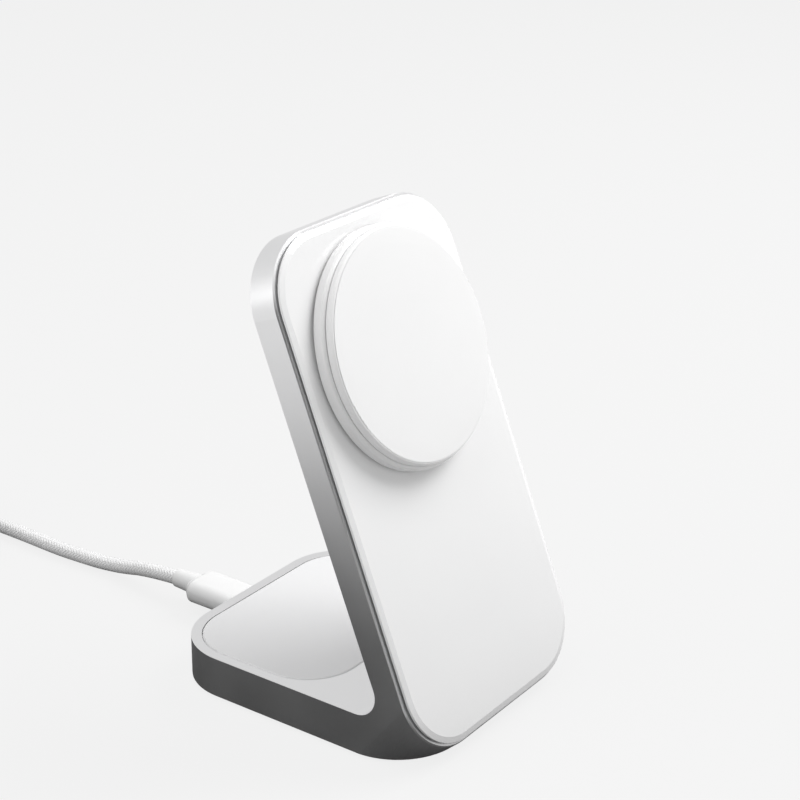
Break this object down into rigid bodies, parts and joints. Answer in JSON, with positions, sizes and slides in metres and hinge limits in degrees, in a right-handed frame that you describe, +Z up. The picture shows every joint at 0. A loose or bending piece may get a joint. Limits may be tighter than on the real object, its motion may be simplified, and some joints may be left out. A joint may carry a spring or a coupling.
{
  "type": "wireless charging stand",
  "caption": "Wireless charging stand: leaning upright with a raised round magnetic charging puck over a flat base with a charging plate, bent from one metal piece, with its braided supply lead",
  "frame": {"origin": "middle of the stand's footprint on the table, without its lead: x 0 in the middle of its width, y 0 midway between the front plate's lower edge and the base's rear face, z 0 at the underside of the rubber foot", "axes": "+Z up, +Y to the rear where the lead leaves the base, +X to the right as seen from the front"},
  "size_m": [0.0864, 0.212, 0.1141],
  "materials": {
    "satin_aluminium": "satin bead blasted",
    "plate_white": "gloss",
    "adhesive_black": "matte foam tape",
    "dark_plastic": "matte",
    "housing_white": "semi-gloss",
    "pad_white": "soft satin",
    "copper_wire": "enamelled wire",
    "ferrite": "sintered",
    "steel": "zinc plated",
    "plated_magnet": "nickel plated",
    "circuit_board": "solder mask",
    "base_plate_white": "gloss",
    "lead_black": "matte",
    "foot_rubber": "matte, fine grain",
    "plug_metal": "nickel plated",
    "plug_white": "satin",
    "braid_white": "woven braid",
    "tie_black": "woven strap"
  },
  "bodies": {
    "root": {"body": "satin_aluminium", "front_plate": "plate_white", "plate_adhesive": "adhesive_black", "puck_collar": "dark_plastic", "puck_housing": "housing_white", "puck_pad": "pad_white", "charging_coil": "copper_wire", "coil_shield": "ferrite", "magnet_yoke": "steel", "alignment_magnets": "plated_magnet", "puck_board": "circuit_board", "puck_screws": "steel", "base_plate": "base_plate_white", "base_plate_film": "adhesive_black", "ballast_weight": "steel", "power_board": "circuit_board", "board_screws": "steel", "socket_shell": "steel", "socket_tongue": "dark_plastic", "inner_lead": "lead_black", "bottom_cover": "dark_plastic", "cover_screws": "steel", "foot_pad": "foot_rubber", "plug_tip": "plug_metal", "plug_grip": "plug_white", "plug_strain_collar": "plug_white", "lead_run": "braid_white", "lead_coil": "braid_white", "lead_end": "braid_white", "lead_tie": "tie_black", "far_plug_strain_collar": "plug_white", "far_plug_grip": "plug_white", "far_plug_tip": "plug_metal"}
  },
  "joints": []
}
